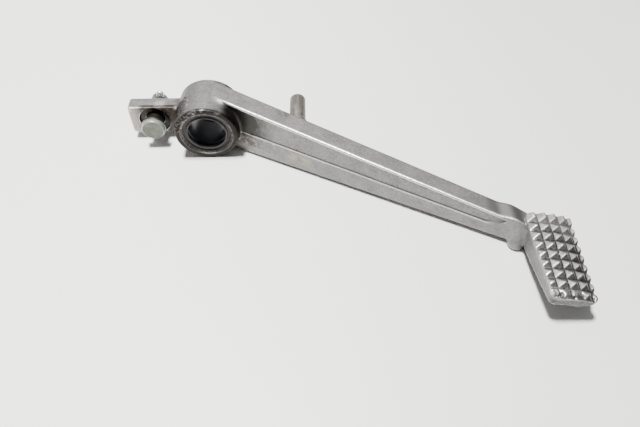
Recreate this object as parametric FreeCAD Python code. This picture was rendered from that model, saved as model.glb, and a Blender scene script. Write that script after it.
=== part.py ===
import FreeCAD, Part
import os
from math import asin, cos, degrees, hypot, radians, sin, tan

# Motorcycle foot brake pedal, right-hand side, in millimetres.
# The origin is on the pivot axis at the middle of the boss. +Y runs along the pivot towards the
# machine, +X runs towards the foot pad and +Z is up. The pedal lies on its boss and its toe.

V = FreeCAD.Vector
Y_AXIS = V(0, 1, 0)
Z_AXIS = V(0, 0, 1)

# Pivot: a plain shaft turns in a pressed bush, with a dust seal at each end of the boss.
shaft_diameter = 17.0
bush_wall = 1.0
bush_length = 15.0
bush_chamfer = 0.35
seal_width = 3.5
seal_section = 3.2
seal_case_wall = 0.6
seal_flange_gap = 0.3
seal_lip_thickness = 0.9
seal_face_drop = 0.2
seal_groove_depth = 0.7
seal_groove_bevel = 0.2
seal_lip_clearance = 0.06
seal_recess = 0.8
boss_wall = 2.55
boss_edge_round = 0.9
seat_chamfer = 0.35

# Arm: a tapered forging that leaves the boss at an angle in plan.
arm_length = 131.5
arm_heading = 26.7
arm_root_thickness = 10.2
arm_end_thickness = 7.9
arm_root_start = 4.3
arm_root_offset = 0.2
arm_top_fall = 0.116
arm_bottom_gap = 0.75
arm_bottom_rise = 0.010
arm_edge_round = 0.9

# Panel sunk into the outer face of the arm.
panel_start = 8.0
panel_lower_depth = 0.45
panel_floor_tilt = 0.065
panel_mouth = 1.3
panel_rim = 1.3
panel_lower_root = 11.98
panel_lower_fall = 0.040
panel_tip_gap = 6.5
panel_tip_length = 8.0
panel_tip_width = 2.0
panel_tip_height = 2.6
panel_draft = 0.6

# Toe: a rounded post under the arm's end, which touches the ground.
toe_length = 9.0
toe_post_radius = 3.7
toe_post_setback = 0.8
toe_post_inset = 1.1
toe_post_straight = 3.6
toe_post_taper = 9.5
toe_round = 1.5
bend_round = 6.0
knuckle_rise = 1.6

# Foot pad: a crowned block that carries rows of pyramids.
pad_length = 39.0
pad_turn = 1.4
pad_side_taper = 3.0
pad_height = 1.8
pad_crown_radius = 40.0
pad_crown_apex = 2.5
pad_shoulder_start = 23.0
pad_shoulder_end = 82.0
pad_shoulder_radius = 3.2
pad_root_thickness = 13.2
pad_end_thickness = 5.8
pad_corner_round = 2.2
pad_end_round = 3.0
pad_back_reach = 6.0
tread_rows = 9
tread_depth = 1.3
tread_land = 0.3
tread_run_out_radius = 11.0
tread_overcut = 0.5
first_column_width = 4.6
column_pitch = 4.6
last_column_width = 3.5
ridge_shares = [0.80, 0.75, 0.62, 0.56, 0.50]

# Lug: carries the pin of the brake rod's fork.
lug_reach = 37.6
lug_thickness = 7.8
lug_height = 15.0
lug_ground_gap = 3.25
lug_edge_round = 1.2
spot_face_rim = 1.4
spot_face_depth = 1.5

# Fork pin with its washer and split pin.
pin_diameter = 8.0
pin_reach = 26.0
pin_clearance = 0.08
pin_head_rim = 1.3
pin_head_height = 2.3
pin_head_chamfer = 0.5
pin_end_chamfer = 0.8
pin_outboard_play = 5.2
pin_inboard_play = 3.3
washer_rim = 0.4
washer_thickness = 1.0
washer_clearance = 0.2
cotter_diameter = 2.0
cotter_clearance = 0.15
cotter_end_distance = 4.2
cotter_eye_diameter = 3.8
cotter_tilt = 16.0
cotter_leg_length = 6.0
cotter_leg_splay = 38.0

# Spring peg: a steel pin whose shank is pressed into a small raised pad on the arm's inner face.
peg_diameter = 7.2
peg_shank_diameter = 6.0
peg_reach = 41.1
peg_height = 4.0
peg_free_length = 18.4
peg_press_depth = 5.0
peg_tip_round = 1.3
peg_seat_wall = 0.5
peg_seat_height = 0.3

boss_length = bush_length + 2 * seal_width
seal_outer_diameter = shaft_diameter + 2 * seal_section
boss_diameter = seal_outer_diameter + 2 * boss_wall
boss_radius = boss_diameter / 2
shaft_radius = shaft_diameter / 2
bush_radius = shaft_radius + bush_wall
seal_radius = seal_outer_diameter / 2
seal_inside = seal_radius - seal_case_wall
seal_flange = bush_radius + seal_flange_gap
pin_head_diameter = pin_diameter + 2 * pin_head_rim
washer_diameter = pin_head_diameter + 2 * washer_rim
spot_face_diameter = washer_diameter + 2 * spot_face_rim
ground = -boss_radius
front = -boss_length / 2
back = boss_length / 2


def front_face_y(x):
    """Outer face of the arm, seen in plan."""
    return arm_root_offset - x * tan(radians(arm_heading))


def thickness_at(x):
    """Thickness of the arm, square to its outer face."""
    share = x / arm_length
    return arm_root_thickness + (arm_end_thickness - arm_root_thickness) * share


def back_face_y(x):
    """Inner face of the arm, seen in plan."""
    return front_face_y(x) + thickness_at(x) / cos(radians(arm_heading))


def arm_top_z(x):
    """Top edge of the arm, a line that touches the boss."""
    return boss_radius * hypot(1, arm_top_fall) - arm_top_fall * x


def arm_bottom_z(x):
    """Bottom edge of the arm."""
    return ground + arm_bottom_gap + arm_bottom_rise * x


def polygon(points):
    """Flat face inside a closed outline."""
    return Part.Face(Part.makePolygon(list(points) + [points[0]]))


def ring(outer, inner, start, length):
    """Plain ring about the Y axis."""
    base = V(0, start, 0)
    outside = Part.makeCylinder(outer, length, base, Y_AXIS)
    return outside.cut(Part.makeCylinder(inner, length, base, Y_AXIS))


def turned(profile):
    """Solid of revolution about the Y axis from (radius, y) points."""
    return polygon([V(r, y, 0) for r, y in profile]).revolve(V(0, 0, 0), Y_AXIS, 360)


def edges_where(shape, wanted):
    return [edge for edge in shape.Edges if wanted(edge)]


def ends(edge):
    return [vertex.Point for vertex in edge.Vertexes]


# ---------------------------------------------------------------- forging

def boss_blank():
    blank = Part.makeCylinder(boss_radius, boss_length, V(0, front, 0), Y_AXIS)
    rims = edges_where(blank, lambda e: len(e.Vertexes) == 1)
    return blank.makeFillet(boss_edge_round, rims)


def arm_blank():
    """Side outline and plan outline, each drawn through and cut to what they share."""
    end = arm_length + pad_corner_round
    root = arm_root_start
    toe_start = arm_length - toe_length
    knuckle = arm_length - toe_length / 2
    low = arm_bottom_z(end)
    side = polygon([V(root, 0, arm_top_z(root)),
                    V(toe_start, 0, arm_top_z(toe_start)),
                    V(knuckle, 0, arm_top_z(knuckle) + knuckle_rise),
                    V(end, 0, pad_height - 2 * tread_depth),
                    V(end, 0, low),
                    V(root, 0, arm_bottom_z(root))])
    plan = polygon([V(root, front_face_y(root), 0), V(end, front_face_y(end), 0),
                    V(end, back_face_y(end), 0), V(root, back_face_y(root), 0)])
    depth = 2 * (arm_length + boss_length)
    side_block = side.extrude(V(0, depth, 0))
    side_block.translate(V(0, -depth / 2, 0))

    def crossing(x, z):
        def wanted(edge):
            a, b = ends(edge)
            near = abs(a.x - x) < 0.01 and abs(a.z - z) < 0.01
            return near and abs(a.y - b.y) > depth / 2
        return edges_where(side_block, wanted)
    bends = crossing(toe_start, arm_top_z(toe_start))
    bends += crossing(knuckle, arm_top_z(knuckle) + knuckle_rise)
    side_block = side_block.makeFillet(bend_round, bends)
    plan_block = plan.extrude(V(0, 0, 3 * boss_diameter))
    plan_block.translate(V(0, 0, -1.5 * boss_diameter))
    blank = side_block.common(plan_block)

    def runs_along(edge):
        a, b = ends(edge)
        return abs(b.x - a.x) > 0.5 and a.x > root - 0.1 and on_arm_face(edge)
    return blank.makeFillet(arm_edge_round, edges_where(blank, runs_along))


def toe_post():
    """Upright post at the arm's end, rounded underneath and faded into the arm above."""
    x = arm_length - toe_post_setback
    y = front_face_y(x) + toe_post_inset
    post = Part.makeCylinder(toe_post_radius, toe_post_straight, V(x, y, ground), Z_AXIS)
    top = V(x, y, ground + toe_post_straight)
    taper = Part.makeCone(toe_post_radius, toe_post_inset, toe_post_taper, top, Z_AXIS)

    def at_foot(edge):
        return all(abs(p.z - ground) < 0.01 for p in ends(edge)) and edge.Length > toe_post_radius
    return post.makeFillet(toe_round, edges_where(post, at_foot)).fuse(taper)


def on_arm_face(edge):
    """True for an edge that lies in the arm's outer or inner face."""
    middle = edge.valueAt((edge.FirstParameter + edge.LastParameter) / 2)
    return min(abs(middle.y - front_face_y(middle.x)), abs(middle.y - back_face_y(middle.x))) < 0.05


def panel_cutter():
    """Long pointed recess with drafted walls. Its floor is deepest along the arm's upper rim."""
    tip_x = arm_length - panel_tip_gap
    low_end = tip_x - panel_tip_length

    def lower_z(x):
        return arm_bottom_z(panel_start) + panel_lower_root - panel_lower_fall * (x - panel_start)

    def upper_z(x):
        return arm_top_z(x) - panel_rim
    outline = [(panel_start, upper_z(panel_start)), (tip_x, upper_z(tip_x)),
               (tip_x - panel_tip_width, lower_z(tip_x) + panel_tip_height), (low_end, lower_z(low_end)),
               (panel_start, lower_z(panel_start))]
    middle_z = sum(z for x, z in outline) / len(outline)
    outward = V(-sin(radians(arm_heading)), -cos(radians(arm_heading)), 0)

    def floor_rise(x, z):
        return -panel_lower_depth - panel_floor_tilt * (z - lower_z(x))

    def wire(grow, rise):
        points = []
        for x, z in outline:
            edge_z = z + grow if z > middle_z else z - grow
            points.append(V(x, front_face_y(x), edge_z) + outward * rise(x, edge_z))
        return Part.makePolygon(points + [points[0]])
    floor = wire(-panel_draft, floor_rise)
    mouth = wire(panel_draft, lambda x, z: panel_mouth)
    return Part.makeLoft([floor, mouth], True)


# ---------------------------------------------------------------- foot pad
# The pad is built with its left edge on x = 0 and its inner end on y = 0, then turned and moved into place.

crown_low = pad_height - pad_crown_radius
crown_start = degrees(asin(-pad_crown_apex / pad_crown_radius))
shoulder_gap = pad_crown_radius - pad_shoulder_radius
shoulder_x = pad_crown_apex + shoulder_gap * sin(radians(pad_shoulder_start))
shoulder_z = crown_low + shoulder_gap * cos(radians(pad_shoulder_start))
crown_length = radians(pad_shoulder_start - crown_start) * pad_crown_radius


def crown_point(angle, depth, y):
    """Point on the tread, by its slope angle from upright and its depth below the tips."""
    if angle <= pad_shoulder_start:
        radius = pad_crown_radius - depth
        return V(pad_crown_apex + radius * sin(radians(angle)), y, crown_low + radius * cos(radians(angle)))
    radius = pad_shoulder_radius - depth
    return V(shoulder_x + radius * sin(radians(angle)), y, shoulder_z + radius * cos(radians(angle)))


def crown_angle(distance):
    """Slope angle at a distance along the tread from its left edge."""
    if distance <= crown_length:
        return crown_start + degrees(distance / pad_crown_radius)
    return pad_shoulder_start + degrees((distance - crown_length) / pad_shoulder_radius)


def tread_arc(depth, y, start, finish):
    points = [crown_point(angle, depth, y) for angle in (start, (start + finish) / 2, finish)]
    return Part.Arc(*points).toShape()


def pad_section(y, thickness):
    """Crown, shoulder, right side, underside and left side of the pad."""
    middle = pad_shoulder_start - 1e-6
    top = tread_arc(0, y, crown_start, middle)
    shoulder = Part.Arc(top.Vertexes[-1].Point, crown_point((middle + pad_shoulder_end) / 2, 0, y),
                        crown_point(pad_shoulder_end, 0, y)).toShape()
    under_end = pad_shoulder_start - 6
    right = Part.makeLine(crown_point(pad_shoulder_end, 0, y), crown_point(under_end, thickness, y))
    under = tread_arc(thickness, y, under_end, crown_start)
    left = Part.makeLine(crown_point(crown_start, thickness, y), crown_point(crown_start, 0, y))
    return Part.Wire([top, shoulder, right, under, left])


def pad_blank():
    root = pad_section(0, pad_root_thickness)
    end = pad_section(-pad_length, pad_end_thickness)
    blank = Part.makeLoft([root, end], True, True)
    corner_point = V(-pad_length, -2 * pad_length, -boss_diameter)
    side = Part.makeBox(pad_length, 2 * pad_length, 2 * boss_diameter, corner_point)
    side.rotate(V(0, 0, 0), Z_AXIS, pad_side_taper)
    blank = blank.cut(side)

    def corner(edge):
        a, b = ends(edge)
        upright = abs(a.y - b.y) < 0.01 and abs(a.z - b.z) > 2.0
        at_end = min(abs(a.y), abs(a.y + pad_length)) < 0.01
        return upright and at_end and edge.Curve.TypeId == "Part::GeomLine"
    near = V(shoulder_x + pad_shoulder_radius - pad_end_round, pad_end_round - pad_length, -boss_diameter)
    reach = pad_end_round + tread_overcut
    square = Part.makeBox(reach, reach, 2 * boss_diameter, near - V(0, reach, 0))
    end_corner = square.cut(Part.makeCylinder(pad_end_round, 2 * boss_diameter, near, Z_AXIS))
    return blank.makeFillet(pad_corner_round, edges_where(blank, corner)).cut(end_corner)


def column_groove(distance, left_reach, right_reach):
    """V groove along the pad, with its own width on each side."""
    widen = 1 + tread_overcut / tread_depth
    v = polygon([V(0, 0, -tread_depth), V(-left_reach * widen, 0, tread_overcut),
                 V(right_reach * widen, 0, tread_overcut)])
    groove = v.extrude(V(0, -pad_length - 4, 0))
    angle = crown_angle(distance)
    groove.rotate(V(0, 0, 0), Y_AXIS, angle)
    groove.translate(crown_point(angle, 0, 2))
    return groove


def row_groove(y, half_width):
    """V groove across the pad that follows the crown and runs out over its shoulder."""
    widen = 1 + tread_overcut / tread_depth
    gap = pad_crown_radius - tread_run_out_radius
    slope = radians(pad_shoulder_start)
    run_out_x = pad_crown_apex + gap * sin(slope)
    run_out_z = crown_low + gap * cos(slope)
    arcs = [(pad_crown_apex, crown_low, pad_crown_radius, crown_start - 3, pad_shoulder_start),
            (run_out_x, run_out_z, tread_run_out_radius, pad_shoulder_start, pad_shoulder_end)]
    sweeps = []
    for x, z, radius, start, finish in arcs:
        v = polygon([V(0, y, radius - tread_depth),
                     V(0, y - half_width * widen, radius + tread_overcut),
                     V(0, y + half_width * widen, radius + tread_overcut)])
        v.rotate(V(0, 0, 0), Y_AXIS, start)
        sweep = v.revolve(V(0, 0, 0), Y_AXIS, finish - start)
        sweep.translate(V(x, 0, z))
        sweeps.append(sweep)
    return sweeps


def tread_cutters():
    """Grooves that leave the pyramids, along the pad and across it."""
    middle_columns = len(ridge_shares) - 2
    widths = [first_column_width] + [column_pitch] * middle_columns + [last_column_width]
    half_land = tread_land / 2
    left = first_column_width / 2
    distance = 0
    cutters = []
    for width, share in zip(widths, ridge_shares):
        cutters.append(column_groove(distance, left - half_land, share * width - half_land))
        left = (1 - share) * width
        distance += width
    cutters.append(column_groove(distance, left - half_land, left))
    pitch = pad_length / tread_rows
    for row in range(tread_rows + 1):
        cutters += row_groove(-row * pitch, pitch / 2 - half_land)
    return cutters


def foot_pad():
    pad = pad_blank().cut(tread_cutters())
    pad.rotate(V(0, 0, 0), Z_AXIS, -pad_turn)
    pad.translate(V(arm_length, front_face_y(arm_length) + pad_back_reach, 0))
    return pad


# ---------------------------------------------------------------- lug

lug_front = back - lug_thickness
pin_z = ground + lug_ground_gap + lug_height / 2


def lug_blank():
    low = pin_z - lug_height / 2
    blank = Part.makeBox(lug_reach - bush_radius, lug_thickness, lug_height, V(-lug_reach, lug_front, low))

    def exposed(edge):
        return any(abs(p.x + lug_reach) < 0.01 for p in ends(edge))
    return blank.makeFillet(lug_edge_round, edges_where(blank, exposed))


def spot_face():
    """Round recess that the brake rod's fork sits in."""
    floor = V(-pin_reach, lug_front + spot_face_depth, pin_z)
    return Part.makeCylinder(spot_face_diameter / 2, boss_length, floor, -Y_AXIS)


def peg_seat_top():
    return back_face_y(peg_reach - peg_diameter / 2 - peg_seat_wall) + peg_seat_height


def peg_seat():
    """Small raised pad that the peg is pressed into."""
    radius = peg_diameter / 2 + peg_seat_wall
    start = back_face_y(peg_reach) - peg_press_depth
    return Part.makeCylinder(radius, peg_seat_top() - start, V(peg_reach, start, peg_height), Y_AXIS)


def pivot_cutters():
    """Bush bore, seal seats and their lead-in chamfers."""
    cutters = [Part.makeCylinder(bush_radius, boss_length, V(0, front, 0), Y_AXIS)]
    for side in (-1, 1):
        face = side * boss_length / 2
        inner = side * bush_length / 2
        cutters.append(turned([(0, inner), (seal_radius, inner), (seal_radius, face - side * seat_chamfer),
                               (seal_radius + 2 * seat_chamfer, face + side * seat_chamfer),
                               (0, face + side * seat_chamfer)]))
    return cutters


def pedal_arm():
    arm = arm_blank().cut(panel_cutter())
    body = boss_blank().fuse([arm, lug_blank(), foot_pad(), toe_post(), peg_seat()])
    pin_hole = Part.makeCylinder(pin_diameter / 2 + pin_clearance, 3 * lug_thickness,
                                 V(-pin_reach, lug_front - lug_thickness, pin_z), Y_AXIS)
    return body.cut([spot_face(), pin_hole, spring_peg()] + pivot_cutters())


# ---------------------------------------------------------------- pieces in the boss

def pivot_bush():
    """Wrapped plain bush with a chamfered bore at each end."""
    half = bush_length / 2
    lead = shaft_radius + bush_chamfer
    return turned([(lead, -half), (bush_radius, -half), (bush_radius, half), (lead, half),
                   (shaft_radius, half - bush_chamfer), (shaft_radius, bush_chamfer - half)])


def seal_case(side):
    """Pressed steel cup: a wall in the seat and a flange turned in against the bush."""
    inner = side * bush_length / 2
    outer = side * (boss_length / 2 - seal_recess)
    floor = inner + side * seal_case_wall
    return turned([(seal_flange, inner), (seal_radius, inner), (seal_radius, outer),
                   (seal_inside, outer), (seal_inside, floor), (seal_flange, floor)])


def seal_lip(side):
    """Rubber bonded in the cup, with a wiping lip and a groove behind it."""
    inner = side * bush_length / 2
    floor = inner + side * seal_case_wall
    outer = side * (boss_length / 2 - seal_recess)
    face = outer - side * seal_face_drop
    groove = outer - side * seal_groove_depth
    groove_radius = seal_inside - seal_lip_thickness
    tip = shaft_radius + seal_lip_clearance
    neck = tip + seal_lip_thickness
    return turned([(neck, inner), (seal_flange, inner), (seal_flange, floor), (seal_inside, floor),
                   (seal_inside, face), (groove_radius + seal_groove_bevel, face),
                   (groove_radius, groove), (neck, groove), (tip + seal_lip_thickness / 2, outer),
                   (tip, face), (tip, groove)])


# ---------------------------------------------------------------- spring peg

def spring_peg():
    """Steel peg with a rounded tip, parallel to the pivot. Its shoulder sits on the raised pad."""
    start = back_face_y(peg_reach) - peg_press_depth
    tip = back_face_y(peg_reach) + peg_free_length
    shoulder = peg_seat_top()
    shank = Part.makeCylinder(peg_shank_diameter / 2, tip - peg_diameter - start,
                              V(peg_reach, start, peg_height), Y_AXIS)
    peg = Part.makeCylinder(peg_diameter / 2, tip - shoulder, V(peg_reach, shoulder, peg_height), Y_AXIS)

    def at_tip(edge):
        return all(abs(p.y - tip) < 0.01 for p in ends(edge)) and edge.Length > peg_diameter
    return peg.makeFillet(peg_tip_round, edges_where(peg, at_tip)).fuse(shank)


# ---------------------------------------------------------------- fork pin

head_back = lug_front + spot_face_depth - pin_outboard_play - washer_thickness
cotter_y = back + pin_inboard_play + cotter_diameter / 2
pin_grip = cotter_y + cotter_end_distance - head_back


def along_pin(y):
    return V(-pin_reach, y, pin_z)


def cotter_hole(radius):
    """Hole across the pin, tilted from upright about the pin's axis."""
    hole = Part.makeCylinder(radius, pin_diameter * 2, V(0, 0, -pin_diameter), Z_AXIS)
    hole.rotate(V(0, 0, 0), Y_AXIS, cotter_tilt)
    hole.translate(along_pin(cotter_y))
    return hole


def clevis_pin():
    """Headed pin, with a chamfered head, a chamfered end and a split-pin hole."""
    radius = pin_diameter / 2
    head = pin_head_diameter / 2
    top = -pin_head_height
    head_profile = [(0, top), (head - pin_head_chamfer, top), (head, top + pin_head_chamfer), (head, 0)]
    shank_profile = [(radius, 0), (radius, pin_grip - pin_end_chamfer),
                     (radius - pin_end_chamfer, pin_grip), (0, pin_grip)]
    pin = turned(head_profile + shank_profile)
    pin.translate(along_pin(head_back))
    return pin.cut(cotter_hole(cotter_diameter / 2 + cotter_clearance))


def clevis_washer():
    washer = ring(washer_diameter / 2, pin_diameter / 2 + washer_clearance, head_back, washer_thickness)
    washer.translate(V(-pin_reach, 0, pin_z))
    return washer


def cotter_pin():
    """Split pin: an eye of bent wire, two half-round legs through the pin, tips bent apart."""
    wire = cotter_diameter / 2
    eye_wire = wire / 2
    eye_radius = cotter_eye_diameter / 2 - eye_wire
    radius = pin_diameter / 2
    eye = Part.makeTorus(eye_radius, eye_wire, V(0, 0, radius + eye_radius + eye_wire), Y_AXIS)
    stem_top = radius + wire
    stem_low = -radius - eye_wire
    knee = V(0, 0, stem_low)
    stem = Part.makeCylinder(wire, stem_top - stem_low, knee, Z_AXIS)
    pieces = [eye, stem, Part.makeSphere(wire, knee)]
    for side in (-1, 1):
        leg = Part.makeCylinder(wire, cotter_leg_length, knee, -Z_AXIS).fuse(Part.makeSphere(wire, knee))
        half_space = Part.makeBox(2 * cotter_leg_length, 2 * cotter_leg_length, 4 * cotter_leg_length,
                                  V(0, -cotter_leg_length, stem_low - 2 * cotter_leg_length))
        if side < 0:
            half_space.rotate(V(0, 0, 0), Z_AXIS, 180)
        leg = leg.common(half_space)
        leg.rotate(knee, Y_AXIS, -side * cotter_leg_splay)
        pieces.append(leg)
    body = pieces[0].fuse(pieces[1:])
    body.rotate(V(0, 0, 0), Y_AXIS, cotter_tilt)
    body.translate(along_pin(cotter_y))
    return body


# ---------------------------------------------------------------- output

nodes = {
    "pedal_arm": pedal_arm,
    "pivot_bush": pivot_bush,
    "outer_seal_case": lambda: seal_case(-1),
    "outer_seal_lip": lambda: seal_lip(-1),
    "inner_seal_case": lambda: seal_case(1),
    "inner_seal_lip": lambda: seal_lip(1),
    "spring_peg": spring_peg,
    "clevis_pin": clevis_pin,
    "clevis_washer": clevis_washer,
    "cotter_pin": cotter_pin,
}

os.makedirs("parts", exist_ok=True)
for name, build in nodes.items():
    shape = build()
    print(name, shape.isValid(), len(shape.Solids), round(shape.Volume, 2))
    shape.exportStep("parts/" + name + ".step")
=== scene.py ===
from math import cos, pi, radians, sin, tan

import bpy
import numpy as np
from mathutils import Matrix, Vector, noise


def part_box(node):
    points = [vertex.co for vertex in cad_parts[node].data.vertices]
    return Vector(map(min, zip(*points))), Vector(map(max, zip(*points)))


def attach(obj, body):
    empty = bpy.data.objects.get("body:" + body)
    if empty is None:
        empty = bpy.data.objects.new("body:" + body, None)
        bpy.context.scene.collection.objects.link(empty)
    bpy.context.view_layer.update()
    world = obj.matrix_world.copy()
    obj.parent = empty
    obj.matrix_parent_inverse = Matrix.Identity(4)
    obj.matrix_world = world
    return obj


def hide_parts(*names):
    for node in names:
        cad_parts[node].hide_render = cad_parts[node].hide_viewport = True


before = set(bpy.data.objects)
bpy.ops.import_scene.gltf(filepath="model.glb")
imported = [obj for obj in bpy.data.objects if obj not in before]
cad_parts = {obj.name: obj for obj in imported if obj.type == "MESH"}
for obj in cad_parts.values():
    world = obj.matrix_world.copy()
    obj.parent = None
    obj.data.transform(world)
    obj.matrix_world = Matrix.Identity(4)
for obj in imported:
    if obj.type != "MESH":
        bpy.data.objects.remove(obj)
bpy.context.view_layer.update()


# ---- Forging --------------------------------------------------------------------------------
# The pedal is one aluminium forging: pivot boss, tapered arm, rear lug, toe and studded pad.
# It is shot-blasted after forging, so corners are filled, edges are soft and the skin is grainy.

MM = 0.001
forging_low, forging_high = (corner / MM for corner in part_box("pedal_arm"))
pin_low, pin_high = (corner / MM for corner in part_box("clevis_pin"))
pin_x = (pin_low.x + pin_high.x) / 2
pin_z = (pin_low.z + pin_high.z) / 2
boss_radius = forging_high.z
boss_half = forging_high.y
seat_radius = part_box("outer_seal_case")[1].z / MM
lug_thickness = 7.8
lug_front = boss_half - lug_thickness
spot_radius = 7.1
heading = radians(26.7)
arm_offset = 0.2
arm_fall = 0.116
panel_step_drop = 1.12
panel_step_fall = 0.04
pad_left = 131.5
pad_height = 1.8
crown_apex = 2.5
crown_radius = 40.0
crown_centre = Vector((pad_left + crown_apex, 0, pad_height - crown_radius))
weld = 0.002
grain = 0.31
root_rounds = 90
wave_height = 0.05
cake_height = 0.55
sharpest_bend = 0.03
smear_centre = (16.5, -8.0, 5.0)
triangle_limit = 190000


def only(piece):
    """Selects one piece alone and makes it the active one."""
    bpy.ops.object.select_all(action="DESELECT")
    piece.select_set(True)
    bpy.context.view_layer.objects.active = piece


def shaped_by(piece, kind, **settings):
    """Adds a modifier with its settings and applies it."""
    only(piece)
    modifier = piece.modifiers.new(kind, kind)
    for name, value in settings.items():
        setattr(modifier, name, value)
    bpy.ops.object.modifier_apply(modifier=modifier.name)


def step(value, start, stop):
    """Smooth rise from 0 at start to 1 at stop."""
    share = np.clip((value - start) / (stop - start), 0, 1)
    return share * share * (3 - 2 * share)


def skin(mesh):
    """Places in millimetres, normals and edges of a mesh."""
    places = np.empty(len(mesh.vertices) * 3)
    normals = np.empty(len(mesh.vertices) * 3)
    edges = np.empty(len(mesh.edges) * 2, np.int64)
    mesh.vertices.foreach_get("co", places)
    mesh.vertices.foreach_get("normal", normals)
    mesh.edges.foreach_get("vertices", edges)
    return places.reshape(-1, 3) / MM, normals.reshape(-1, 3), edges.reshape(-1, 2)


def put_back(mesh, places):
    """Writes places in millimetres back to a mesh."""
    mesh.vertices.foreach_set("co", (places * MM).ravel())
    mesh.update()


def neighbour_mean(values, edges):
    """Mean of each vertex's neighbours."""
    count = len(values)
    links = np.bincount(edges.ravel(), minlength=count)
    total = [np.bincount(edges[:, 0], column[edges[:, 1]], count)
             + np.bincount(edges[:, 1], column[edges[:, 0]], count) for column in values.T]
    return np.stack(total, 1) / links[:, None]


def root_weight(places):
    """Where a hollow corner is filled: round the boss, at the lug, above the toe and at the pad."""
    x, y, z = places.T
    radius = np.hypot(x, z)
    outside = step(radius, seat_radius + 0.8, seat_radius + 1.8)
    at_arm = (1 - step(radius, 16.5, 20.0)) * step(x, 2, 6)
    at_lug = step(x, -21, -18.5) * (1 - step(x, -10, -6)) * step(y, lug_front - 4, lug_front - 2)
    beside_pad = 1 - step(np.abs(x - pad_left), 3.5, 6.0)
    at_pad = beside_pad * (1 - step(z, -2.5, -1.0))
    at_toe = step(x, pad_left - 12, pad_left - 9) * (1 - step(z, -4, -2)) * step(z, -13.5, -12)
    return outside * np.max([at_arm, at_lug, at_pad, at_toe * (x < pad_left + 3)], axis=0)


def fill_roots(mesh, rounds):
    """Fills hollow corners only, so that outer edges keep their place."""
    for turn in range(rounds):
        if turn % 10 == 0:
            places, normals, edges = skin(mesh)
            weight = root_weight(places)[:, None]
        pull = neighbour_mean(places, edges) - places
        hollow = (pull * normals).sum(1, keepdims=True) > 0
        places = places + pull * weight * hollow
        if turn % 10 == 9:
            put_back(mesh, places)


def weathered(mesh):
    """Handling marks: wavy skin, caked dirt at the neck and a scraped outer end of the pad."""
    places, normals = skin(mesh)[:2]
    x, y, z = places.T
    radius = np.hypot(x, z)
    wave = np.array([noise.noise(Vector(p) * 0.11) for p in places])
    lump = np.array([noise.noise(Vector(p) * 0.85) for p in places])
    machined = (radius < boss_radius - 0.5) & (np.abs(y) > boss_half - 0.3) | (radius < seat_radius + 0.8)
    around_pin = np.hypot(x - pin_x, z - pin_z)
    neck = step(x, -21, -18) * (1 - step(x, -9, -5)) * step(z, 0, 3)
    neck = neck * (1 - step(y, lug_front, lug_front + 1))
    rim = step(radius, seat_radius + 0.6, seat_radius + 1.4)
    rim = rim * (1 - step(y, -boss_half + 0.6, -boss_half + 2.5))
    upper_left = (1 - step(x, -6, 0)) * step(z, -2, 4)
    caked = np.maximum(neck * step(around_pin, spot_radius, spot_radius + 1), rim * upper_left)
    out = wave_height * wave * ~machined + cake_height * caked * np.clip(lump + 0.12, 0, 1)
    places = places + normals * out[:, None]

    x, y, z = places.T
    depth = crown_radius - np.hypot(x - crown_centre.x, z - crown_centre.z)
    from_end = y - forging_low.y
    on_tread = (x > pad_left) & (depth > -0.2) & (depth < 2.0)
    scrape = (1 - step(from_end, 3.2, 5.2)) * (1 - step(x, pad_left + 12.0, pad_left + 14.5)) * 0.85
    scrape = scrape + (1 - step(from_end, 0.6, 2.2)) * 0.55 + 0.15 * lump * (scrape > 0.2)
    sunk = np.clip(scrape - depth, 0, None) * on_tread
    places[:, 2] -= sunk
    nicks = [(4.6, 1.9, 1.3, 0.9), (12.2, 2.3, 1.1, 0.8), (16.4, 1.2, 1.4, 0.8), (9.0, 0.6, 1.0, 0.4)]
    for across, along, size, sink in nicks:
        away = np.hypot(x - pad_left - across, from_end - along)
        places[:, 2] -= sink * (1 - step(away, 0, size)) * (z > -4)
    put_back(mesh, places)


def shade_by_curve(mesh):
    """Stores how proud and how hollow the skin is, for worn edges, and for dirt and painted shade in corners.
    """
    places, normals, edges = skin(mesh)
    pull = neighbour_mean(places, edges) - places
    bend = (pull * normals).sum(1, keepdims=True)
    for turn in range(2):
        bend = 0.5 * bend + 0.5 * neighbour_mean(bend, edges)
    for name, sign in (("proud", -1), ("hollow", 1)):
        layer = mesh.attributes.new(name, "FLOAT", "POINT")
        share = np.clip(bend[:, 0] * sign / sharpest_bend, 0, 1)
        layer.data.foreach_set("value", share.astype(np.float32))


forging = bpy.data.objects.new("forged_pedal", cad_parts["pedal_arm"].data.copy())
bpy.context.scene.collection.objects.link(forging)
only(forging)
bpy.ops.object.mode_set(mode="EDIT")
bpy.ops.mesh.select_all(action="SELECT")
bpy.ops.mesh.remove_doubles(threshold=weld * MM)
bpy.ops.object.mode_set(mode="OBJECT")
shaped_by(forging, "REMESH", mode="VOXEL", voxel_size=grain * MM, use_smooth_shade=True)
fill_roots(forging.data, root_rounds)
weathered(forging.data)
triangles = 2 * len(forging.data.polygons)
shaped_by(forging, "DECIMATE", ratio=min(1.0, triangle_limit / triangles))
shade_by_curve(forging.data)
only(forging)
bpy.ops.object.shade_smooth()


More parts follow.
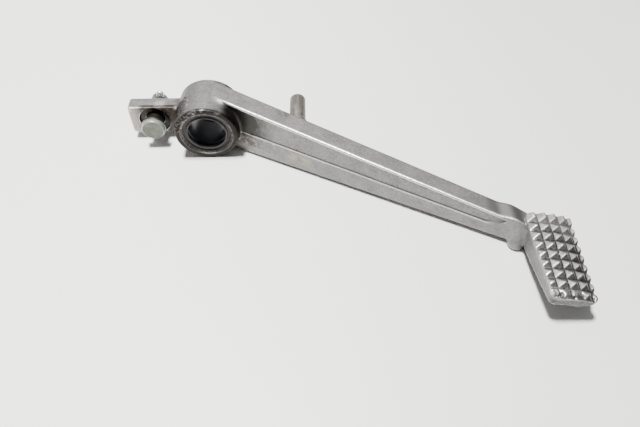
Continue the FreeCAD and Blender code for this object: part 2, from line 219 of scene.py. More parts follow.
class Socket:
    """An output socket of a material, so that shader maths reads as plain sums."""

    def __init__(self, tree, plug):
        self.tree = tree
        self.plug = plug

    def node(self, kind, settings=None, output=0, **values):
        """Adds a node of any kind. Values go to sockets by name, or by number as i0, i1 and so on."""
        made = self.tree.nodes.new("ShaderNode" + kind)
        for name, value in (settings or {}).items():
            setattr(made, name, value)
        for name, value in values.items():
            numbered = name[0] == "i" and name[1:].isdigit()
            port = made.inputs[int(name[1:])] if numbered else made.inputs[name.replace("_", " ")]
            if isinstance(value, Socket):
                self.tree.links.new(value.plug, port)
            else:
                port.default_value = value
        return Socket(self.tree, made.outputs[output])

    def maths(self, operation, first, second):
        return self.node("Math", {"operation": operation}, i0=first, i1=second)

    def __add__(self, other):
        return self.maths("ADD", self, other)

    __radd__ = __add__

    def __mul__(self, other):
        return self.maths("MULTIPLY", self, other)

    __rmul__ = __mul__

    def __sub__(self, other):
        return self.maths("SUBTRACT", self, other)

    def __rsub__(self, other):
        return self.maths("SUBTRACT", other, self)

    def diagonal(self, other):
        """Length of the diagonal over this side and the other."""
        return self.maths("POWER", self * self + other * other, 0.5)

    def most(self, other):
        return self.maths("MAXIMUM", self, other)

    def rise(self, start, stop):
        """Smooth mask that is 0 up to start and 1 from stop."""
        settings = {"interpolation_type": "SMOOTHSTEP"}
        return self.node("MapRange", settings, Value=self, From_Min=start, From_Max=stop)

    def band(self, start, stop, blur):
        """Smooth mask between two values."""
        return self.rise(start - blur, start + blur) * (1 - self.rise(stop - blur, stop + blur))

    def over(self, below, above):
        """This mask lays the colour above on the colour below."""
        return self.node("Mix", {"data_type": "RGBA"}, output=2, i0=self, i6=below, i7=above)

    def axes(self):
        split = self.node("SeparateXYZ", Vector=self)
        outputs = split.plug.node.outputs
        return [Socket(self.tree, plug) for plug in outputs]

    def speckle(self, scale, detail=3.0, roughness=0.6):
        return self.node("TexNoise", Vector=self, Scale=scale, Detail=detail, Roughness=roughness)

    def squeezed(self, x, y, z, turn=0.0):
        """Place turned about Z and stretched along each axis."""
        return self.node("Mapping", Vector=self, Rotation=(0, 0, turn), Scale=(x, y, z))


def new_finish(name):
    """A material, its shader node and the place on the object in millimetres."""
    material = bpy.data.materials.new(name)
    material.use_nodes = True
    tree = material.node_tree
    shader = tree.nodes["Principled BSDF"]
    coordinates = Socket(tree, tree.nodes.new("ShaderNodeTexCoord").outputs["Object"])
    place = coordinates.node("VectorMath", {"operation": "SCALE"}, i0=coordinates, Scale=1 / MM)
    return material, shader, place


def plug_in(shader, **values):
    """Sets or links the shader's own sockets."""
    tree = shader.id_data
    for name, value in values.items():
        port = shader.inputs[name.replace("_", " ")]
        if isinstance(value, Socket):
            tree.links.new(value.plug, port)
        else:
            port.default_value = value


def grey(level, warm=0.0):
    return (level * (1 + warm), level, level * (1 - warm), 1)


def forged_finish():
    material, shader, place = new_finish("forged_aluminium")
    x, y, z = place.axes()
    fine = place.speckle(2.2, 4.0, 0.7)
    blasted = place.speckle(1.1, 3.0, 0.6)
    mottle = place.speckle(0.16, 4.0, 0.6)
    patchy = place.speckle(0.45, 5.0, 0.65)
    streak = place.squeezed(0.05, 0.9, 0.9, heading).speckle(1.0, 4.0, 0.7)
    proud = place.node("Attribute", {"attribute_name": "proud"}, output=2)
    hollow = place.node("Attribute", {"attribute_name": "hollow"}, output=2)
    pits = 1 - place.node("TexVoronoi", Vector=place, Scale=0.55, Randomness=1.0).rise(0.10, 0.24)
    pits = pits * place.speckle(0.3).rise(0.50, 0.58)
    inward = (y - arm_offset + x * tan(heading)) * cos(heading)
    radius = x.diagonal(z)
    around_pin = (x - pin_x).diagonal(z - pin_z)

    # Masks of grease, dirt, rubbed edges and scrapes, and of painted shade, painted shadow and painted
    # highlights, each 0 to 1.
    above_step = z + panel_step_drop + panel_step_fall * x
    below_top = boss_radius - arm_fall * x - z
    in_panel = inward.rise(0.15, 0.45) * above_step.rise(0.1, 0.6)
    # grease marks grease together with painted shade: in the panel under the top edge beside the boss, on the
    # boss's side and in a smear.
    grease_and_shade = in_panel * below_top.rise(0.9, 1.8) * (1 - (x + patchy * 9).rise(25, 37)) * x.rise(7, 9)
    boss_side = (1 - radius.rise(boss_radius + 2.5, boss_radius + 4.0)) * x.rise(4, 8)
    boss_side = boss_side * y.rise(-10.6, -10.0) * z.band(-4, 11.5, 1.2)
    boss_side = boss_side * (1 - inward.rise(1.5, 2.5))
    from_smear = place.node("VectorMath", {"operation": "DISTANCE"}, output=1, i0=place, i1=smear_centre)
    smear = (1 - (from_smear + patchy * 6).rise(9.5, 14)) * below_top.rise(0.5, 1.3)
    grease_and_shade = grease_and_shade.most(boss_side * patchy.rise(0.25, 0.45)).most(smear)
    stain = (1 - (x + patchy * 12).rise(24, 38)) * x.rise(8, 11) * above_step.band(-7, 0.2, 1.0)
    stain = stain * inward.band(-1.5, 2.5, 0.4) * patchy.rise(0.42, 0.60)
    annulus = 1 - y.rise(0.9 - boss_half, 2.2 - boss_half)
    annulus = annulus * radius.rise(seat_radius - 0.1, seat_radius + 0.2)
    annulus = annulus * (1 - radius.rise(boss_radius + 0.3, boss_radius + 1.0))
    annulus_dirt = annulus * (patchy - z * 0.006).rise(0.20, 0.42) * (1 - blasted.rise(0.62, 0.70) * 0.6)
    seat_edge = radius.band(seat_radius, seat_radius + 0.32, 0.08)
    seat_edge = seat_edge * (1 - y.rise(0.4 - boss_half, 0.7 - boss_half))
    # neck is caked dirt and painted shade on the boss's left wall beside the lug.
    neck = x.band(-21, -8.5, 1.5) * (1 - y.rise(lug_front - 0.3, lug_front + 1.2)) * y.rise(-9.9, -8.6)
    neck = neck * (patchy + fine * 0.3).rise(0.38, 0.60)
    # lug_dirt_and_shadow is dirt and the painted shadow of the pin's head on the lug's front.
    lug_dirt_and_shadow = x.band(-32, -15, 1.5) * y.band(lug_front - 1, lug_front + 2, 0.4)
    lug_dirt_and_shadow = lug_dirt_and_shadow * (z + x * 0.25).rise(-12, -8)
    neck = neck.most(lug_dirt_and_shadow * (patchy + fine * 0.2).rise(0.26, 0.46))
    # recess is grease and the painted shadow of the pin's head in the spot face.
    recess_grease_and_shadow = 1 - around_pin.rise(spot_radius - 0.3, spot_radius + 0.3)
    recess_grease_and_shadow = recess_grease_and_shadow * y.rise(lug_front + 0.3, lug_front + 0.9) * (1 - y.rise(9.0, 9.5))
    yellow = x.band(37, 46, 2.5) * z.band(-9, -4, 2) * (1 - inward.rise(0.6, 1.0)) * mottle.rise(0.3, 0.6)
    by_peg = x.band(33.0, 37.5, 1.2) * z.rise(8.0, 9.0) * inward.rise(4.2, 6.5) * patchy.rise(0.38, 0.58)
    # lug_end_cream_and_lit lays a cream tone on the lug's left end and paints light on it, so it is lighter
    # and less metallic than the rest.
    lug_end_cream_and_lit = (1 - x.rise(-35.5, -33.0)) * (1 - y.rise(lug_front + 0.6, lug_front + 1.4))
    top_grease = z.rise(3.2, 3.9) * x.band(-30, -12, 2) * (streak + x * 0.012).rise(0.16, 0.30)
    worn_spot = z.rise(3.2, 3.9) * x.band(-25, -21, 1.5) * y.band(5.0, 8.0, 1.2) * blasted.rise(0.4, 0.6)
    # edge_top_highlight paints a highlight: a narrow bright line along the arm's top front edge.
    edge_top_highlight = (0 - below_top).rise(-1.1, -0.4) * inward.band(-0.5, 0.6, 0.2)
    edge_top_highlight = edge_top_highlight * x.rise(8, 12) * (1 - x.rise(118, 124))
    # dashes paint shadow: short dark dashes under the arm's overhanging top edge.
    overhang_shadow_dashes = below_top.band(1.5, 2.4, 0.3) * streak.rise(0.50, 0.57)
    overhang_shadow_dashes = overhang_shadow_dashes * x.band(30, 104, 4) * inward.rise(0.3, 0.8)
    # step_crease_shade paints shade in the crease above the lower step.
    step_crease_shade = above_step.band(0.55, 1.0, 0.12) * inward.rise(0.2, 0.4) * x.band(12, 120, 3)
    # step_line_highlight paints a highlight: a thin bright line on the edge of the lower step.
    step_line_highlight = above_step.band(-0.1, 0.42, 0.1) * inward.band(-0.4, 0.4, 0.1) * x.band(14, 118, 3)
    # pad_wall_shade paints shade on the pad's left wall, broken up by streaks.
    pad_wall_shade = x.rise(pad_left - 2.5, pad_left - 0.5) * (1 - z.rise(-1.6, -0.4)) * (1 - inward.rise(-2, 0))
    # knuckle paints shade over the knuckle's top, where its slope would show a bright band.
    knuckle_shade = x.band(118, 131, 1.5) * (0 - below_top).rise(-0.5, 0.1) * inward.rise(0.8, 1.6)
    near_end = y - forging_low.y
    scraped = (1 - near_end.rise(3.5, 5.5)) * (z + 0.1 * x).rise(12.2, 13.2)
    scraped = scraped * (1 - x.rise(pad_left + 13, pad_left + 17)) * blasted.rise(0.42, 0.56)
    chipped = (1 - near_end.rise(1.5, 3.5)) * x.rise(pad_left, pad_left + 1)
    chipped = chipped * z.rise(-6, -3) * blasted.rise(0.44, 0.54)
    tread = x.rise(pad_left - 0.5, pad_left + 1.0) * z.rise(-5.4, -4.0) * (0 - inward).rise(-4, -2)

    # Colour, from the blasted metal up through dirt and painted shade to what has been rubbed bare or painted
    # as a highlight.
    colour = mottle.rise(0.25, 0.75).over(grey(0.17, 0.024), grey(0.235, 0.018))
    colour = (fine.rise(0.54, 0.72) * 0.50).over(colour, grey(0.38, 0.012))
    colour = ((1 - fine.rise(0.28, 0.46)) * 0.6).over(colour, grey(0.085, 0.02))
    colour = (blasted.rise(0.52, 0.66) * 0.50).over(colour, grey(0.11, 0.03))
    colour = ((1 - blasted.rise(0.32, 0.46)) * 0.35).over(colour, grey(0.36, 0.01))
    colour = (pad_wall_shade * (0.55 + streak.rise(0.4, 0.6) * 0.3)).over(colour, grey(0.085, 0.05))
    colour = (knuckle_shade * 0.85).over(colour, grey(0.095, 0.03))
    colour = (streak.rise(0.55, 0.72) * 0.45).over(colour, grey(0.13, 0.03))
    colour = (yellow * 0.5).over(colour, (0.42, 0.39, 0.26, 1))
    colour = (lug_end_cream_and_lit * 0.5).over(colour, (0.50, 0.46, 0.40, 1))
    colour = (by_peg * 0.8).over(colour, grey(0.10, 0.05))
    colour = (top_grease * 0.75).over(colour, grey(0.13, 0.05))
    # Hollows, and the tread's valleys most, are darkened: dirt and painted shade.
    colour = (hollow.rise(0.12, 0.8) * (0.30 + tread * 0.65)).over(colour, grey(0.055, 0.08))
    colour = (pits * 0.8).over(colour, grey(0.07, 0.05))
    # Painted shadow under the top edge and painted shade in the step's crease.
    colour = (overhang_shadow_dashes.most(step_crease_shade * 0.8) * 0.85).over(colour, grey(0.07, 0.03))
    colour = (stain * 0.85).over(colour, (0.060, 0.040, 0.032, 1))
    # Grease and painted shade, near black.
    colour = (grease_and_shade * 0.95).over(colour, (0.022, 0.022, 0.018, 1))
    colour = (annulus_dirt * 0.96).over(colour, (0.012, 0.010, 0.008, 1))
    # Dirt and painted shade at the neck and on the lug.
    colour = (neck * 0.92).over(colour, (0.026, 0.018, 0.014, 1))
    colour = (recess_grease_and_shadow * 0.95).over(colour, (0.030, 0.028, 0.024, 1))
    colour = (chipped * 0.85).over(colour, grey(0.06, 0.05))
    rubbed = proud.rise(0.35, 1.0) * (0.20 + fine.rise(0.3, 0.6) * 0.45) * (1 - annulus.most(neck) * 0.9)
    # Rubbed and scraped bare metal, worn spots and the seat's edge, together with the painted highlights on
    # the arm's top edge and on the lower step, in one light grey.
    worn_bare_and_highlight = rubbed.most(edge_top_highlight * 0.95).most(scraped * 0.6).most(step_line_highlight * 0.7).most(seat_edge * 0.15)
    worn_bare_and_highlight = worn_bare_and_highlight.most(worn_spot * 0.8) * (1 - grease_and_shade * 0.7) * (1 - chipped * 0.8)
    colour = worn_bare_and_highlight.over(colour, grey(0.80, 0.01))

    oily = grease_and_shade.most(recess_grease_and_shadow).most(neck * 0.6)
    rough = 0.54 + (fine - 0.5) * 0.25 - worn_bare_and_highlight * 0.20 - oily * 0.14 - tread * 0.13
    metallic = 0.92 - (pits * 0.4) - (lug_end_cream_and_lit * 0.4)
    height = (fine * 0.07) + (blasted * 0.08) + (patchy * 0.05) - (pits * 0.12) + (neck * fine * 0.14)
    bump = height.node("Bump", Height=height, Strength=0.6, Distance=MM)
    plug_in(shader, Base_Color=colour, Roughness=rough, Metallic=metallic, Normal=bump)
    return material


def clad(piece, material, body, slot, *nodes):
    """Gives a piece its only material and its body, and hides the nodes it stands for. The record slot is not
    used.
    """
    piece.data.materials.clear()
    piece.data.materials.append(material)
    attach(piece, body)
    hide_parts(*nodes)


clad(forging, forged_finish(), "pedal", "forged_aluminium", "pedal_arm")


# ---- Shaft bush -----------------------------------------------------------------------------
# The pivot shaft turns in a wrapped steel bush with a dark sliding layer. It is pressed into the
# boss between the seals, and old grease keeps it almost black.

turned_weld = 0.001


def turned(name, profile, centre=(0, 0), closed=False, sides=112, bevel=0.12):
    """Turns (radius, y) points about Y: one circle is drawn on from point to point, then merged."""
    x, z = centre[0] * MM, centre[1] * MM
    radius, y = profile[0]
    bpy.ops.object.select_all(action="DESELECT")
    bpy.ops.mesh.primitive_circle_add(vertices=sides, radius=radius * MM, location=(x, y * MM, z),
                                      rotation=(pi / 2, 0, 0), fill_type="NOTHING" if closed else "NGON")
    piece = bpy.context.object
    piece.name = name
    bpy.ops.object.transform_apply(location=True, rotation=True, scale=True)
    bpy.ops.object.mode_set(mode="EDIT")
    bpy.ops.mesh.select_all(action="SELECT")
    for next_radius, next_y in profile[1:] + (profile[:1] if closed else []):
        bpy.ops.mesh.extrude_region_move(TRANSFORM_OT_translate={"value": (0, (next_y - y) * MM, 0)})
        grow = next_radius / radius
        bpy.ops.transform.resize(value=(grow, 1, grow), center_override=(x, next_y * MM, z))
        radius, y = next_radius, next_y
    bpy.ops.mesh.select_all(action="SELECT")
    bpy.ops.mesh.remove_doubles(threshold=turned_weld * MM)
    bpy.ops.mesh.normals_make_consistent(inside=False)
    bpy.ops.object.mode_set(mode="OBJECT")
    shaped_by(piece, "BEVEL", width=bevel * MM, segments=2, limit_method="ANGLE", angle_limit=radians(20))
    only(piece)
    bpy.ops.object.shade_smooth_by_angle(angle=radians(35))
    return piece


bush_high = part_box("pivot_bush")[1] / MM
bush_bore = 8.5
bush_lead = 0.35
bush_half = bush_high.y
bush = turned("wrapped_bush", [(bush_high.x, -bush_half), (bush_high.x, bush_half),
                               (bush_bore + bush_lead, bush_half), (bush_bore, bush_half - bush_lead),
                               (bush_bore, bush_lead - bush_half), (bush_bore + bush_lead, -bush_half)],
              closed=True, bevel=0.06)


def bush_finish():
    material, shader, place = new_finish("bush_sliding_layer")
    x, _, z = place.axes()
    film = place.speckle(0.35, 4.0, 0.6)
    rings = place.squeezed(0.1, 3.0, 0.1).speckle(1.0, 3.0)
    seam = x.band(-0.25, 0.25, 0.08) * z.rise(6, 7)
    colour = film.rise(0.3, 0.7).over((0.006, 0.007, 0.011, 1), (0.020, 0.022, 0.032, 1))
    colour = (rings.rise(0.55, 0.7) * 0.4).over(colour, (0.045, 0.047, 0.056, 1))
    colour = seam.over(colour, grey(0.004))
    bump = rings.node("Bump", Height=rings * 0.02 - seam * 0.3, Strength=0.5, Distance=MM)
    plug_in(shader, Base_Color=colour, Roughness=0.22 + film * 0.25, Metallic=0.25, Normal=bump)
    return material


clad(bush, bush_finish(), "pedal", "bush_bronze", "pivot_bush")


# ---- Dust seals -----------------------------------------------------------------------------
# A seal closes each end of the boss: a thin pressed steel cup with rubber moulded into it, whose
# lip wipes the pivot shaft. The rubber has gone grey with road dust, and the cup's rim is bright.

case_wall = 0.6
flange_gap = 0.3
lip_clearance = 0.06
face_drop = 0.2
dish_depth = 0.75
flange_radius = bush_high.x + flange_gap
lip_radius = bush_bore + lip_clearance
rubber_radius = seat_radius - case_wall
seal_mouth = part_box("inner_seal_case")[1].y / MM


def seal_planes(side):
    """Where a seal's foot, mouth and cup floor lie along Y, at one end of the boss."""
    foot = side * bush_half
    return foot, side * seal_mouth, foot + side * case_wall


def seal_case(name, side):
    foot, mouth, floor = seal_planes(side)
    return turned(name, [(seat_radius, foot), (seat_radius, mouth), (rubber_radius, mouth),
                         (rubber_radius, floor), (flange_radius, floor), (flange_radius, foot)],
                  closed=True, bevel=0.15)


def seal_lip(name, side):
    """Rubber with a dished face, two moulded steps and a rounded lip."""
    foot, mouth, floor = seal_planes(side)
    face = mouth - side * face_drop
    dish = mouth - side * dish_depth
    return turned(name, [(rubber_radius, floor), (rubber_radius, face), (rubber_radius - 0.45, face),
                         (rubber_radius - 0.62, dish), (lip_radius + 0.95, dish),
                         (lip_radius + 0.75, mouth - side * 0.35), (lip_radius + 0.42, mouth),
                         (lip_radius + 0.1, mouth - side * 0.08), (lip_radius, mouth - side * 0.4),
                         (lip_radius + 0.12, mouth - side * 0.95), (lip_radius + 0.9, foot),
                         (flange_radius, foot), (flange_radius, floor)],
                  closed=True, bevel=0.07)


def cup_finish():
    material, shader, place = new_finish("seal_cup_steel")
    dirt = place.speckle(0.7, 4.0, 0.65)
    fine = place.speckle(5.0, 3.0)
    colour = fine.rise(0.3, 0.7).over(grey(0.11, 0.03), grey(0.22, 0.02))
    colour = (dirt.rise(0.38, 0.56) * 0.85).over(colour, (0.035, 0.030, 0.025, 1))
    bump = fine.node("Bump", Height=fine * 0.02 + dirt * 0.05, Strength=0.4, Distance=MM)
    plug_in(shader, Base_Color=colour, Roughness=0.42 + dirt * 0.3, Metallic=0.9, Normal=bump)
    return material


def rubber_finish():
    material, shader, place = new_finish("dusty_seal_rubber")
    x, _, z = place.axes()
    radius = x.diagonal(z)
    dust = place.speckle(0.5, 5.0, 0.65)
    fine = place.speckle(4.0, 3.0, 0.7)
    moulded = radius.node("Math", {"operation": "SINE"}, i0=radius * 9.0)
    wet = 1 - radius.rise(lip_radius + 0.1, lip_radius + 1.0)
    colour = dust.rise(0.3, 0.7).over((0.016, 0.0145, 0.013, 1), (0.036, 0.032, 0.028, 1))
    colour = (fine.rise(0.55, 0.75) * 0.35).over(colour, (0.10, 0.09, 0.08, 1))
    colour = (wet * 0.6).over(colour, (0.022, 0.022, 0.026, 1))
    bump = fine.node("Bump", Height=fine * 0.03 + moulded * 0.01, Strength=0.5, Distance=MM)
    plug_in(shader, Base_Color=colour, Roughness=0.72 - wet * 0.3 + (fine - 0.5) * 0.15, Normal=bump)
    return material


cup_steel = cup_finish()
seal_rubber = rubber_finish()
for end, side in (("outer", -1), ("inner", 1)):
    cup = seal_case(end + "_seal_cup", side)
    clad(cup, cup_steel, "pedal", "seal_steel", end + "_seal_case")
    rubber = seal_lip(end + "_seal_rubber", side)
    clad(rubber, seal_rubber, "pedal", "seal_rubber", end + "_seal_lip")


# ---- Spring peg -----------------------------------------------------------------------------
# The return spring hooks on a turned steel peg, pressed into a raised pad on the arm's inner face.
# Its tip is rounded, and the spring has rubbed it along its length.

peg_low, peg_high = (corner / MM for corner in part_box("spring_peg"))
peg_x = (peg_low.x + peg_high.x) / 2
peg_z = (peg_low.z + peg_high.z) / 2
peg_radius = (peg_high.x - peg_low.x) / 2
shank_radius = 3.0
shank_lead = 0.4
shoulder_y = -7.416
shoulder_round = 0.2
tip_round = 1.3
tip_core = peg_radius - tip_round
tip_start = peg_high.y - tip_round
tip_arc = [(tip_core + tip_round * cos(radians(a)), tip_start + tip_round * sin(radians(a)))
           for a in (0, 18, 36, 54, 72, 88)]
peg = turned("spring_peg_pin", [(shank_radius - shank_lead, peg_low.y), (shank_radius, peg_low.y + shank_lead),
                                (shank_radius, shoulder_y), (peg_radius - shoulder_round, shoulder_y),
                                (peg_radius, shoulder_y + shoulder_round)] + tip_arc,
             centre=(peg_x, peg_z), sides=72, bevel=0.04)


def peg_finish():
    material, shader, place = new_finish("peg_steel")
    y = place.axes()[1]
    along = place.squeezed(2.6, 0.10, 2.6).speckle(1.0, 4.0, 0.7)
    fine = place.speckle(3.0, 3.0)
    rust = place.speckle(0.35, 4.0, 0.6)
    colour = along.rise(0.3, 0.7).over((0.085, 0.078, 0.070, 1), (0.23, 0.218, 0.20, 1))
    colour = (rust.rise(0.5, 0.66) * 0.5).over(colour, (0.13, 0.095, 0.07, 1))
    colour = ((1 - y.rise(shoulder_y + 0.2, shoulder_y + 3.0)) * 0.6).over(colour, (0.10, 0.09, 0.08, 1))
    colour = (y.rise(peg_high.y - 1.6, peg_high.y - 0.6) * 0.5).over(colour, grey(0.50, 0.02))
    bump = along.node("Bump", Height=along * 0.04 + fine * 0.02, Strength=0.5, Distance=MM)
    rough = 0.40 + rust * 0.25
    metallic = 0.8 - rust.rise(0.5, 0.66) * 0.4
    plug_in(shader, Base_Color=colour, Roughness=rough, Metallic=metallic, Normal=bump)
    return material


clad(peg, peg_finish(), "pedal", "peg_steel", "spring_peg")


# ---- Fork pin and washer --------------------------------------------------------------------
# A headed steel pin joins the brake rod's fork to the lug, over a thin plain washer. Both are zinc
# plated, which has dulled to a greenish grey, and the pin has a cross hole for its split pin.

head_radius = (pin_high.x - pin_low.x) / 2
head_height = 2.3
head_back = pin_low.y + head_height
head_chamfer = 0.5
head_dish = 0.10
under_head = 0.15
shank = 4.0
end_chamfer = 0.8
cross_hole_radius = 1.15
drill_length = 20
washer_gap = 0.2
washer_low, washer_high = (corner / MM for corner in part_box("clevis_washer"))
washer_radius = (washer_high.x - washer_low.x) / 2
cotter_low, cotter_high = (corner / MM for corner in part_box("cotter_pin"))
cotter_y = (cotter_low.y + cotter_high.y) / 2
cotter_tilt = radians(16.0)
cross_hole = (pin_x * MM, cotter_y * MM, pin_z * MM)
pin = turned("fork_pin_body",
             [(head_radius - 1.6, pin_low.y + head_dish), (head_radius - 1.3, pin_low.y),
              (head_radius - head_chamfer, pin_low.y), (head_radius, pin_low.y + head_chamfer),
              (head_radius, head_back), (shank + under_head, head_back),
              (shank, head_back + under_head), (shank, pin_high.y - end_chamfer),
              (shank - end_chamfer, pin_high.y)], centre=(pin_x, pin_z), bevel=0.10)
bpy.ops.object.select_all(action="DESELECT")
bpy.ops.mesh.primitive_cylinder_add(vertices=40, radius=cross_hole_radius * MM, depth=drill_length * MM,
                                    location=cross_hole, rotation=(0, cotter_tilt, 0))
drill = bpy.context.object
shaped_by(pin, "BOOLEAN", object=drill, operation="DIFFERENCE", solver="EXACT")
bpy.data.objects.remove(drill)
only(pin)
bpy.ops.object.shade_smooth_by_angle(angle=radians(35))
washer_bore = shank + washer_gap
washer = turned("fork_pin_washer", [(washer_radius, washer_low.y), (washer_radius, washer_high.y),
                                    (washer_bore, washer_high.y), (washer_bore, washer_low.y)],
                centre=(pin_x, pin_z), closed=True, bevel=0.16)


def zinc_finish():
    material, shader, place = new_finish("dull_zinc_plating")
    x, y, z = place.axes()
    radius = (x - pin_x).diagonal(z - pin_z)
    cloud = place.speckle(0.30, 4.0, 0.6)
    fine = place.speckle(3.2, 4.0, 0.7)
    facing = radius.node("Math", {"operation": "SINE"}, i0=radius * 14.0)
    scratch = place.squeezed(0.15, 1.0, 3.0).speckle(1.0, 4.0, 0.75)
    colour = cloud.rise(0.3, 0.7).over((0.080, 0.090, 0.072, 1), (0.130, 0.143, 0.119, 1))
    colour = (fine.rise(0.58, 0.75) * 0.4).over(colour, (0.28, 0.295, 0.26, 1))
    colour = (scratch.rise(0.58, 0.68) * 0.5).over(colour, (0.11, 0.115, 0.10, 1))
    # Grime and painted shade behind the pin's head and over the washer.
    grime_and_shade = y.rise(head_back - 0.4, head_back + 0.6)
    grime_and_shade = grime_and_shade * (1 - y.rise(10, 13))
    colour = (grime_and_shade * 0.95).over(colour, (0.035, 0.032, 0.027, 1))
    # A painted highlight round the head's chamfer.
    chamfer_highlight = radius.band(head_radius - head_chamfer, head_radius + 0.2, 0.08) * (1 - grime_and_shade)
    colour = (chamfer_highlight * 0.6).over(colour, (0.55, 0.57, 0.53, 1))
    bump = facing.node("Bump", Height=facing * 0.006 + fine * 0.03, Strength=0.45, Distance=MM)
    rough = 0.46 + (fine - 0.5) * 0.2 - chamfer_highlight * 0.12
    plug_in(shader, Base_Color=colour, Roughness=rough, Metallic=0.6 + grime_and_shade * 0.3, Normal=bump)
    return material


zinc = zinc_finish()
clad(pin, zinc, "fork_pin", "plated_steel", "clevis_pin")
clad(washer, zinc, "fork_washer", "plated_steel", "clevis_washer")


# ---- Split pin ------------------------------------------------------------------------------
# Half-round steel wire, folded to an eye, pushed through the pin's cross hole. Its two legs are
# bent apart below so that the fork pin stays in.

wire = 0.98
half_gap = 0.03
eye_inside = 0.9
eye_lean = radians(50)
lead_in = eye_inside * cos(eye_lean) / (1 - cos(eye_lean))
eye_height = 5.9
stem_top = eye_height - (lead_in + eye_inside) * sin(eye_lean)
stem_low = -4.5
leg_splay = radians(38)
leg_bend = 1.6
leg_length = 4.6


def wire_half():
    """Half-round section on the left of x = 0, drawn down into a leg and up round half of the eye."""
    bpy.ops.object.select_all(action="DESELECT")
    bpy.ops.mesh.primitive_circle_add(vertices=24, radius=wire * MM, fill_type="NGON",
                                      location=(0, 0, stem_top * MM))
    half = bpy.context.object
    bpy.ops.object.transform_apply(location=True)
    bpy.ops.object.mode_set(mode="EDIT")
    bpy.ops.mesh.select_all(action="SELECT")
    bpy.ops.mesh.bisect(plane_co=(-half_gap * MM, 0, 0), plane_no=(1, 0, 0), clear_outer=True, use_fill=False)
    bpy.ops.mesh.select_all(action="SELECT")
    bpy.ops.mesh.extrude_region_move(TRANSFORM_OT_translate={"value": (0, 0, (stem_low - stem_top) * MM)})
    bpy.ops.mesh.spin(steps=6, angle=-leg_splay, center=(-leg_bend * MM, 0, stem_low * MM), axis=(0, 1, 0))
    bpy.ops.mesh.extrude_region_move(TRANSFORM_OT_translate={
        "value": (-leg_length * MM * sin(leg_splay), 0, -leg_length * MM * cos(leg_splay))})
    bpy.ops.mesh.select_mode(type="FACE")
    bpy.ops.mesh.select_all(action="DESELECT")
    bpy.ops.object.mode_set(mode="OBJECT")
    for face in half.data.polygons:
        face.select = abs(face.center.z - stem_top * MM) < 0.01 * MM and abs(face.normal.z) > 0.9
    bpy.ops.object.mode_set(mode="EDIT")
    bpy.ops.mesh.spin(steps=6, angle=eye_lean, center=(-lead_in * MM, 0, stem_top * MM), axis=(0, 1, 0))
    bpy.ops.mesh.spin(steps=22, angle=-(pi / 2 + eye_lean), center=(0, 0, eye_height * MM), axis=(0, 1, 0))
    bpy.ops.mesh.select_mode(type="VERT")
    bpy.ops.object.mode_set(mode="OBJECT")
    return half


left = wire_half()
right = bpy.data.objects.new("right_half", left.data.copy())
bpy.context.scene.collection.objects.link(right)
right.scale.x = -1
only(right)
bpy.ops.object.transform_apply(scale=True)
left.select_set(True)
bpy.context.view_layer.objects.active = left
bpy.ops.object.join()
cotter = left
cotter.name = "split_pin_wire"
bpy.ops.object.mode_set(mode="EDIT")
bpy.ops.mesh.select_all(action="SELECT")
bpy.ops.mesh.normals_make_consistent(inside=False)
bpy.ops.object.mode_set(mode="OBJECT")
cotter.rotation_euler = (0, cotter_tilt, 0)
cotter.location = cross_hole
only(cotter)
bpy.ops.object.transform_apply(location=True, rotation=True)
shaped_by(cotter, "BEVEL", width=0.10 * MM, segments=2, limit_method="ANGLE", angle_limit=radians(50))
only(cotter)
bpy.ops.object.shade_smooth_by_angle(angle=radians(40))


def wire_finish():
    material, shader, place = new_finish("split_pin_steel")
    drawn = place.speckle(1.2, 4.0, 0.7)
    fine = place.speckle(5.0, 3.0)
    colour = drawn.rise(0.35, 0.65).over(grey(0.42, 0.03), grey(0.78, 0.01))
    colour = (fine.rise(0.6, 0.75) * 0.5).over(colour, (0.15, 0.11, 0.08, 1))
    bump = fine.node("Bump", Height=fine * 0.02 + drawn * 0.03, Strength=0.5, Distance=MM)
    plug_in(shader, Base_Color=colour, Roughness=0.36 + drawn * 0.2, Metallic=0.8, Normal=bump)
    return material


clad(cotter, wire_finish(), "fork_pin", "cotter_steel", "cotter_pin")


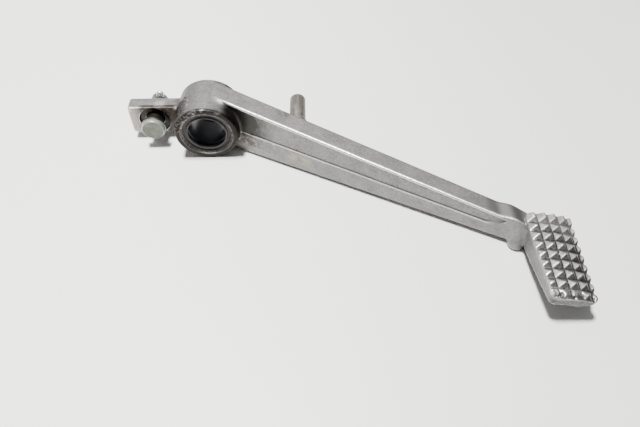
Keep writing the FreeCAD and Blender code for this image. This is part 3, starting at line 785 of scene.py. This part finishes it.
# ---- Bench and light ------------------------------------------------------------------------
# The pedal lies on a pale bench, on its boss and its toe, under one broad soft lamp.

bench_top = forging_low.z * MM
bench_size = 6.0
bpy.ops.object.select_all(action="DESELECT")
bpy.ops.mesh.primitive_plane_add(size=bench_size, location=(0, 0, bench_top))
bench = bpy.context.object
bench.name = "bench"
bench_paint, bench_shader, bench_place = new_finish("bench_paint")
# The bench is painted lighter on the left and darker on the right: painted light falloff.
bench_painted_falloff = bench_place.axes()[0].rise(-60, 190).over(grey(0.90, 0.006), grey(0.72, 0.010))
plug_in(bench_shader, Base_Color=bench_painted_falloff, Roughness=0.5)
bench.data.materials.append(bench_paint)

world = bpy.data.worlds.new("studio")
world.use_nodes = True
room_tree = world.node_tree
direction = Socket(room_tree, room_tree.nodes.new("ShaderNodeTexCoord").outputs["Generated"])
east, north, up = direction.axes()
window = (east * -0.55) + (north * 0.45) + (up * 0.70)
glow = 0.02 + window.rise(-0.1, 1.0) * 0.64
background = room_tree.nodes["Background"]
background.inputs["Color"].default_value = (0.96, 0.98, 1.0, 1)
room_tree.links.new(glow.plug, background.inputs["Strength"])
bpy.context.scene.world = world

lamp = bpy.data.lights.new("softbox", "AREA")
lamp.shape = "RECTANGLE"
lamp.size = 0.16
lamp.size_y = 0.13
lamp.color = (1.0, 0.985, 0.96)
lamp.energy = 34.0
lamp_at = Vector((-0.10, 0.00, 0.95))
lamp_aim = Vector((0.05, -0.04, 0))
softbox = bpy.data.objects.new("softbox", lamp)
softbox.location = lamp_at
softbox.rotation_euler = (lamp_aim - lamp_at).to_track_quat("-Z", "Y").to_euler()
bpy.context.scene.collection.objects.link(softbox)

lens = bpy.data.cameras.new("camera")
lens.lens = 32.6
lens.sensor_width = 36.0
lens.clip_start = 0.01
camera = bpy.data.objects.new("camera", lens)
camera.location = (0.0469, -0.2045, 0.1798)
camera.rotation_euler = (radians(39.24), 0, radians(-1.24))
bpy.context.scene.collection.objects.link(camera)
bpy.context.scene.camera = camera
